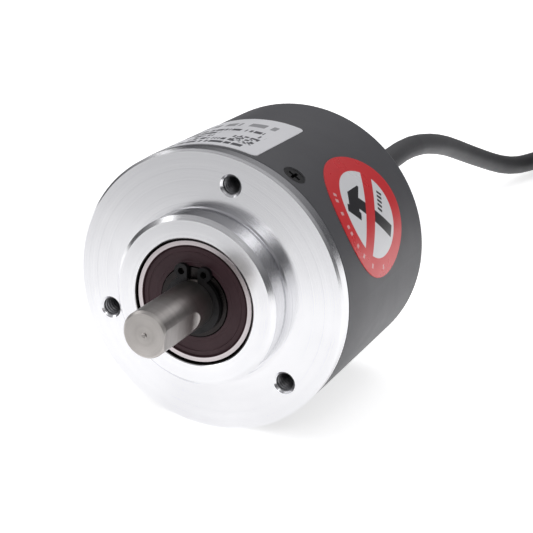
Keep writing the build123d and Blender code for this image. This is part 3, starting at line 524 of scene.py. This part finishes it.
def makeStickerFilm(plan):
    # red ring and bar on a white disc, with a plain hammer shape under the bar
    material, tree, shader = startFinish("sticker_film")
    u, v = skinPlace(tree, plan["stickerAngle"], plan["stickerPlace"])
    half = math.sqrt(0.5)
    across = calc(tree, "MULTIPLY", calc(tree, "SUBTRACT", v, u), half)
    along = calc(tree, "MULTIPLY", calc(tree, "ADD", u, v), -half)
    reach = distance(tree, u, v)
    soft = plan["edge"]
    ring = within(tree, reach, plan["discRadius"], 1.0, soft)
    bar = within(tree, across, -plan["barWidth"] / 2, plan["barWidth"] / 2, soft)
    red = calc(tree, "MAXIMUM", ring, bar)
    stick = calc(tree, "MULTIPLY",
                 within(tree, along, -plan["handleWidth"] / 2, plan["handleWidth"] / 2, soft),
                 within(tree, across, *plan["handleReach"], soft))
    # the head tapers to its claw on one side and steps out to its face on the other
    taper = addNode(tree, "ShaderNodeMapRange", None, Value=along, From_Min=plan["headClaw"][0],
                    From_Max=plan["headClaw"][1], To_Min=plan["clawHalf"],
                    To_Max=plan["headHalf"])
    step = calc(tree, "MULTIPLY", within(tree, along, *plan["headFace"], soft), plan["headStep"])
    middle = addNode(tree, "ShaderNodeMapRange", None, Value=along, From_Min=plan["headClaw"][0],
                     From_Max=plan["headClaw"][1], To_Min=plan["headAcross"] + plan["clawDroop"],
                     To_Max=plan["headAcross"])
    off = calc(tree, "ABSOLUTE", calc(tree, "SUBTRACT", across, middle.outputs[0]))
    head = calc(tree, "MULTIPLY",
                calc(tree, "LESS_THAN", off, calc(tree, "ADD", taper.outputs[0], step)),
                within(tree, along, plan["headClaw"][0], plan["headFace"][1], soft))
    code = calc(tree, "MULTIPLY", within(tree, across, *plan["codeAcross"], soft),
                within(tree, along, *plan["codeAlong"], soft))
    cell = calc(tree, "FRACT", calc(tree, "DIVIDE", along, plan["codePitch"]))
    code = calc(tree, "MULTIPLY", code, within(tree, cell, *plan["codeFill"], 0.05))
    dark = calc(tree, "MAXIMUM", calc(tree, "MAXIMUM", stick, head), code)
    swing = calc(tree, "ARCTAN2", v, u)
    turn = calc(tree, "MULTIPLY", swing, plan["lettersPerRadian"])
    noise = addNode(tree, "ShaderNodeTexWhiteNoise", {"noise_dimensions": "1D"},
                    W=calc(tree, "FLOOR", turn))
    filled = within(tree, calc(tree, "FRACT", turn), *plan["letterFill"], 0.06)
    stroke = calc(tree, "MULTIPLY", filled,
                  calc(tree, "GREATER_THAN", noise.outputs["Value"], plan["letterGaps"]))
    dash = calc(tree, "MULTIPLY", within(tree, reach, *plan["dashRadius"], soft), stroke)
    dash = calc(tree, "MULTIPLY", dash, within(tree, swing, *plan["lettersSwing"], 0.03))
    grain = useGroup(tree, "grain", Grain_Scale=2600.0, Patch_Scale=160.0)
    white = mixColours(tree, grain["Patches"], (0.80, 0.80, 0.82), (0.74, 0.74, 0.76))
    ink = mixColours(tree, grain["Patches"], (0.72, 0.036, 0.042), (0.62, 0.03, 0.036))
    colour = mixColours(tree, dark, white, (0.020, 0.019, 0.022))
    colour = mixColours(tree, red, colour, ink)
    colour = mixColours(tree, calc(tree, "MULTIPLY", dash, 0.75), colour, (0.78, 0.52, 0.52))
    finishSkin(tree, shader, colour, (0.24, 0.36), 0.000012)
    return material


def makeLabelFilm(plan):
    # white film with rows of short plain strokes, grouped as on a rating label
    material, tree, shader = startFinish("label_film")
    s, y = skinPlace(tree, plan["labelEdge"], plan["labelSide"])

    def strokes(pitch, tall, first, seed, level):
        # upright strokes in rows: cells of one pitch, a random few of them left out
        row = calc(tree, "DIVIDE", calc(tree, "SUBTRACT", y, first), tall)
        cell = calc(tree, "DIVIDE", s, pitch)
        spot = addNode(tree, "ShaderNodeCombineXYZ", None, X=calc(tree, "FLOOR", cell),
                       Y=calc(tree, "FLOOR", row), Z=seed)
        noise = addNode(tree, "ShaderNodeTexWhiteNoise", {"noise_dimensions": "3D"},
                        Vector=spot.outputs[0])
        mark = calc(tree, "GREATER_THAN", noise.outputs["Value"], level)
        return mark, calc(tree, "FRACT", row)

    def area(sRange, yRange):
        soft = plan["areaEdge"]
        return calc(tree, "MULTIPLY", within(tree, s, *sRange, soft),
                    within(tree, y, *yRange, soft))

    gaps = plan["gaps"]
    fine, share = strokes(plan["strokePitch"], plan["rowPitch"], plan["rowFirst"], 3.0,
                          gaps["fine"])
    word, _ = strokes(plan["wordPitch"], plan["rowPitch"], plan["rowFirst"], 7.0,
                      gaps["word"])
    fine = calc(tree, "MULTIPLY", calc(tree, "MULTIPLY", fine, word),
                within(tree, share, *plan["rowFill"], 0.05))
    fine = calc(tree, "MULTIPLY", fine, area(plan["fineAcross"], plan["fineAlong"]))
    block, _ = strokes(plan["blockPitch"], plan["blockPitch"], 0.0, 11.0, gaps["block"])
    blockArea = area(plan["blockAcross"], plan["blockAlong"])
    fine = calc(tree, "MULTIPLY", fine, calc(tree, "SUBTRACT", 1.0, blockArea))
    fine = calc(tree, "MAXIMUM", fine, calc(tree, "MULTIPLY", block, blockArea))
    large, _ = strokes(plan["largePitch"], 1.0, 0.0, 19.0, gaps["large"])
    large = calc(tree, "MULTIPLY", large, area(plan["largeAcross"], plan["largeAlong"]))
    ink = calc(tree, "MAXIMUM", calc(tree, "MULTIPLY", fine, plan["ink"]["fine"]),
               calc(tree, "MULTIPLY", large, plan["ink"]["large"]))
    grain = useGroup(tree, "grain", Grain_Scale=2600.0, Patch_Scale=120.0)
    white = mixColours(tree, grain["Patches"], (0.84, 0.84, 0.86), (0.76, 0.76, 0.79))
    colour = mixColours(tree, ink, white, (0.035, 0.035, 0.045))
    finishSkin(tree, shader, colour, (0.34, 0.46), 0.00001)
    return material


finishes = {name: makeFinish(name, look) for name, look in finishLooks.items()}
# painted shade: the thread linings are the flange's aluminium made darker, for the shade inside the
# tapped holes
finishes["shadedThreadWall"] = makeFinish("shadedThreadWall", {
    **finishLooks["turned_aluminium"], "colours": ((0.30, 0.30, 0.31), (0.20, 0.20, 0.21)),
    "roughness": (0.3, 0.42)})
# painted shade: a darker copy of the bearing steel, for the shade on the inner rings under the seal
# and retaining ring
finishes["shadedInnerRingSteel"] = makeFinish("shadedInnerRingSteel", {
    **finishLooks["bearing_steel"], "colours": ((0.035, 0.031, 0.031), (0.020, 0.018, 0.018))})
finishes["disc_glass"] = makeGlass()
finishes["sticker_film"] = makeStickerFilm(printPlan)
finishes["label_film"] = makeLabelFilm(printPlan)
for node in nodes.values():
    for slot in node.material_slots:
        slot.material = finishes[slot.material.name.split(".")[0]]
# the inner rings take the painted-shade copy of the bearing steel
for name in ("front_bearing_inner_ring", "rear_bearing_inner_ring"):
    nodes[name].material_slots[0].material = finishes["shadedInnerRingSteel"]
cable.data.materials.append(finishes["cable_jacket"])
print("finishes made,", len(finishes))


# surfaces worked out with numpy

def gridPiece(name, points, closedDown, closedAcross, finish, body):
    # points[i, j] is the surface at the i-th step down and the j-th step across;
    # neighbours make quads, and a closed direction joins its last line to its first
    rows, columns = points.shape[:2]
    down = np.arange(rows if closedDown else rows - 1)[:, None]
    across = np.arange(columns if closedAcross else columns - 1)[None, :]
    nextDown = (down + 1) % rows
    nextAcross = (across + 1) % columns
    quads = np.stack([down * columns + across, down * columns + nextAcross,
                      nextDown * columns + nextAcross, nextDown * columns + across], axis=-1)
    quads = quads.reshape(-1, 4)
    faces = quads.tolist()
    if closedAcross and not closedDown:
        faces.append(list(range(columns))[::-1])
        faces.append([(rows - 1) * columns + j for j in range(columns)])
    mesh = bpy.data.meshes.new(name)
    mesh.from_pydata(points.reshape(-1, 3).tolist(), [], faces)
    mesh.polygons.foreach_set("use_smooth", np.ones(len(faces), bool))
    mesh.materials.append(finish)
    mesh.update()
    piece = bpy.data.objects.new(name, mesh)
    scene.collection.objects.link(piece)
    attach(piece, body)
    return piece


threadPlan = {
    "first": 76.4,
    "pitch": 0.0007,
    "depth": 0.0056,
    "start": 0.0004,
    "outer": 0.00170,
    "root": 0.00163,
    "crest": 0.00136,
    "around": 40,
    "perTurn": 10,
    "endSteps": 4.0,
    "endGap": 0.00002,
}


def makeThread(plan, name, angle, reach):
    # a lining of the hole: its inner radius runs between root and crest as a rounded
    # triangle wave of (y / pitch - turn), so the ridge climbs one pitch in each turn, and
    # it runs out to the hole's wall over the first and last few steps
    steps = int(plan["depth"] / plan["pitch"] * plan["perTurn"])
    y = np.linspace(plan["start"], plan["start"] + plan["depth"], steps)
    turn = np.arange(plan["around"]) / plan["around"]
    phase = y[:, None] / plan["pitch"] - turn[None, :]
    wave = np.abs(2.0 * (phase % 1.0) - 1.0)
    wave = np.clip(1.25 * wave - 0.125, 0.0, 1.0)
    inner = plan["root"] + (plan["crest"] - plan["root"]) * wave
    ends = np.minimum(1.0, np.minimum(np.arange(steps), np.arange(steps)[::-1])
                      / plan["endSteps"])[:, None]
    inner = plan["outer"] - plan["endGap"] + (inner - plan["outer"] + plan["endGap"]) * ends
    radius = np.concatenate([inner, np.full((2, plan["around"]), plan["outer"])])
    along = np.concatenate([y, [y[-1], y[0]]])[:, None] + np.zeros_like(radius)
    swing = 2.0 * np.pi * turn[None, :] + np.zeros_like(radius)
    cx, cz = reach * math.cos(math.radians(angle)), reach * math.sin(math.radians(angle))
    points = np.stack([cx + radius * np.cos(swing), along, cz + radius * np.sin(swing)], axis=-1)
    return gridPiece(name, points, True, True, finishes["shadedThreadWall"], "housing")


holes = mounts["flange_holes"]["dims"]
for index in range(int(holes["count"])):
    makeThread(threadPlan, f"mountThread{index + 1}",
               threadPlan["first"] + 360.0 * index / holes["count"], holes["pcd_mm"] / 2 * mm)
print("threads cut")


leadPlan = {
    "radius": 0.55,
    "around": 12,
    "steps": 40,
    "endAngle": -3.0,
    "middle": 26.0,
    "sleeveHeight": -1.7,
    "layHeight": -3.8,
    "ring": 1.25,
    "ringCount": 6,
    "start": -1.2,
    "bends": (-18.0, -40.0, -61.0),
    "lanes": (3.6, 2.4, -1.2, -3.6, -2.4, 1.2, 0.0),
    "colours": {
        "leadBlack": ((0.020, 0.020, 0.022), (0.014, 0.014, 0.015)),
        "leadWhite": ((0.80, 0.80, 0.78), (0.70, 0.70, 0.68)),
        "leadOrange": ((0.72, 0.20, 0.03), (0.62, 0.16, 0.02)),
        "leadBlue": ((0.03, 0.10, 0.48), (0.02, 0.08, 0.38)),
        "leadBrown": ((0.14, 0.06, 0.03), (0.10, 0.045, 0.022)),
        "leadGreen": ((0.03, 0.26, 0.08), (0.02, 0.20, 0.06)),
        "leadRed": ((0.55, 0.04, 0.035), (0.44, 0.03, 0.03)),
    },
}


def onCoil(radius, angle, height):
    turn = math.radians(angle)
    centre = cablePlan["coilCentre"]
    return (centre[0] + radius * math.cos(turn), centre[1] + radius * math.sin(turn), height)


def leadLine(route, steps):
    # quadratic B-spline that starts and ends on the route's first and last points
    route = np.array(route, float)
    spans = len(route) - 2
    t = np.linspace(0.0, spans, steps)
    span = np.minimum(t.astype(int), spans - 1)
    share = (t - span)[:, None]
    starts = np.where(span[:, None] == 0, route[0], (route[span] + route[span + 1]) / 2)
    ends = np.where(span[:, None] == spans - 1, route[-1], (route[span + 1] + route[span + 2]) / 2)
    bend = route[span + 1]
    return (1 - share) ** 2 * starts + 2 * share * (1 - share) * bend + share ** 2 * ends


def carryRound(line, radius, around):
    # a circle carried along a line: sideways is the level normal of the path, up is square to both
    ahead = np.gradient(line, axis=0)
    ahead /= np.linalg.norm(ahead, axis=1)[:, None]
    sideways = np.cross(ahead, (0.0, 0.0, 1.0))
    sideways /= np.linalg.norm(sideways, axis=1)[:, None]
    upward = np.cross(sideways, ahead)
    swing = 2.0 * np.pi * np.arange(around) / around
    return (line[:, None, :] + radius * (np.cos(swing)[None, :, None] * sideways[:, None, :]
                                         + np.sin(swing)[None, :, None] * upward[:, None, :]))


# six leads leave the sleeve in a ring with the seventh in its middle, and fan out into lanes
for index, (name, colours) in enumerate(leadPlan["colours"].items()):
    finish = makeFinish(name, {**finishLooks["lead_insulation"], "colours": colours})
    swing = math.radians(360.0 / leadPlan["ringCount"] * index)
    ringReach = leadPlan["ring"] if index < leadPlan["ringCount"] else 0.0
    aside, above = ringReach * math.cos(swing), ringReach * math.sin(swing)
    lane = leadPlan["lanes"][index]
    high, low = leadPlan["sleeveHeight"], leadPlan["layHeight"]
    middle, endAngle = leadPlan["middle"], leadPlan["endAngle"]
    near, far, last = (endAngle + bend for bend in leadPlan["bends"])
    route = [
        onCoil(middle + aside, endAngle + leadPlan["start"], high + above),
        onCoil(middle - 0.6 + 0.5 * aside + 0.4 * lane, near, 0.5 * (high + above + low)),
        onCoil(middle + 0.9 * lane, far, low),
        onCoil(middle + lane, last + 1.5 * lane, low),
    ]
    points = carryRound(leadLine(route, leadPlan["steps"]), leadPlan["radius"],
                        leadPlan["around"]) * mm
    lead = gridPiece(name, points, False, True, finish, "housing")
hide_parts("end_leads")

print("leads laid")


# studio

studioPlan = {
    "floorHeight": -0.025,
    "floorHalf": 4.0,
    "floorColour": (0.90, 0.90, 0.90),
    "floorRoughness": 0.75,
    "floorSpecular": 0.2,
    "glow": (0.0, 0.68),
    "shadeCentre": (-0.07, -0.30),
    "shadeReach": (0.17, 0.255),
    "sky": ((0.07, 0.07, 0.075), (0.42, 0.42, 0.43)),
    "skyRange": (0.05, 0.85),
    "skyStrength": 1.0,
    "lamps": {
        "topLamp": {"place": (-0.1, 0.3, 0.6), "aim": (-0.1, 0.25, 0.0), "size": (0.8, 0.8),
                    "power": 1.9},
        "leftLamp": {"place": (-0.75, -0.35, 0.45), "aim": (0.0, 0.0, 0.0), "size": (0.5, 0.5),
                     "power": 1.6},
        "frontLamp": {"place": (0.25, -0.6, 0.5), "aim": (0.0, 0.0, -0.01),
                      "size": (0.3, 0.3), "power": 0.7},
    },
}


def makeFloor(plan):
    line = np.array((-plan["floorHalf"], plan["floorHalf"]))
    x, y = np.meshgrid(line, line)
    corners = np.stack([x, y, np.full_like(x, plan["floorHeight"])], axis=-1).reshape(-1, 3)
    mesh = bpy.data.meshes.new("floor")
    mesh.from_pydata(corners.tolist(), [], [(0, 1, 3, 2)])
    material, tree, shader = startFinish("floorPaper")
    grain = useGroup(tree, "grain", Grain_Scale=900.0, Patch_Scale=2.0)
    pale = plan["floorColour"]
    tree.links.new(mixColours(tree, grain["Patches"], pale, tuple(c * 0.99 for c in pale)),
                   shader.inputs["Base Color"])
    shader.inputs["Roughness"].default_value = plan["floorRoughness"]
    shader.inputs["Specular IOR Level"].default_value = plan["floorSpecular"]
    # a table lit from below, but for a round shade in front of the object
    place = tree.nodes.new("ShaderNodeTexCoord")
    at = addNode(tree, "ShaderNodeSeparateXYZ", Vector=place.outputs["Object"])
    reach = distance(tree, *(calc(tree, "SUBTRACT", at.outputs[index], middle)
                             for index, middle in enumerate(plan["shadeCentre"])))
    glow = addNode(tree, "ShaderNodeMapRange", {"interpolation_type": "SMOOTHSTEP"},
                   Value=reach, From_Min=plan["shadeReach"][0], From_Max=plan["shadeReach"][1],
                   To_Min=plan["glow"][0], To_Max=plan["glow"][1]).outputs[0]
    tree.links.new(glow, shader.inputs["Emission Strength"])
    shader.inputs["Emission Color"].default_value = (1.0, 1.0, 1.0, 1.0)
    mesh.materials.append(material)
    floor = bpy.data.objects.new("floor", mesh)
    scene.collection.objects.link(floor)
    floor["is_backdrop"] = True


def makeSky(plan):
    # soft grey sky that brightens with height
    world = bpy.data.worlds.new("studio")
    scene.world = world
    world.use_nodes = True
    tree = world.node_tree
    place = tree.nodes.new("ShaderNodeTexCoord")
    at = addNode(tree, "ShaderNodeSeparateXYZ", Vector=place.outputs["Generated"])
    share = addNode(tree, "ShaderNodeMapRange", {"interpolation_type": "SMOOTHSTEP"},
                    Value=at.outputs[2], From_Min=plan["skyRange"][0],
                    From_Max=plan["skyRange"][1]).outputs[0]
    tree.links.new(mixColours(tree, share, *plan["sky"]), tree.nodes["Background"].inputs[0])
    tree.nodes["Background"].inputs[1].default_value = plan["skyStrength"]


def makeLamps(lamps):
    # each lamp is turned about X and then Z, so that it looks at its aim
    for name, lamp in lamps.items():
        data = bpy.data.lights.new(name, "AREA")
        data.shape = "RECTANGLE"
        data.size, data.size_y = lamp["size"]
        data.energy = lamp["power"]
        light = bpy.data.objects.new(name, data)
        toward = np.array(lamp["aim"]) - np.array(lamp["place"])
        light.location = lamp["place"]
        yaw = math.atan2(toward[1], toward[0]) - math.pi / 2
        tilt = math.pi / 2 + math.atan2(toward[2], math.hypot(toward[0], toward[1]))
        light.rotation_euler = (tilt, 0.0, yaw)
        scene.collection.objects.link(light)


makeFloor(studioPlan)
makeSky(studioPlan)
makeLamps(studioPlan["lamps"])
scene.view_settings.view_transform = "Standard"
print("studio ready")

low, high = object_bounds()
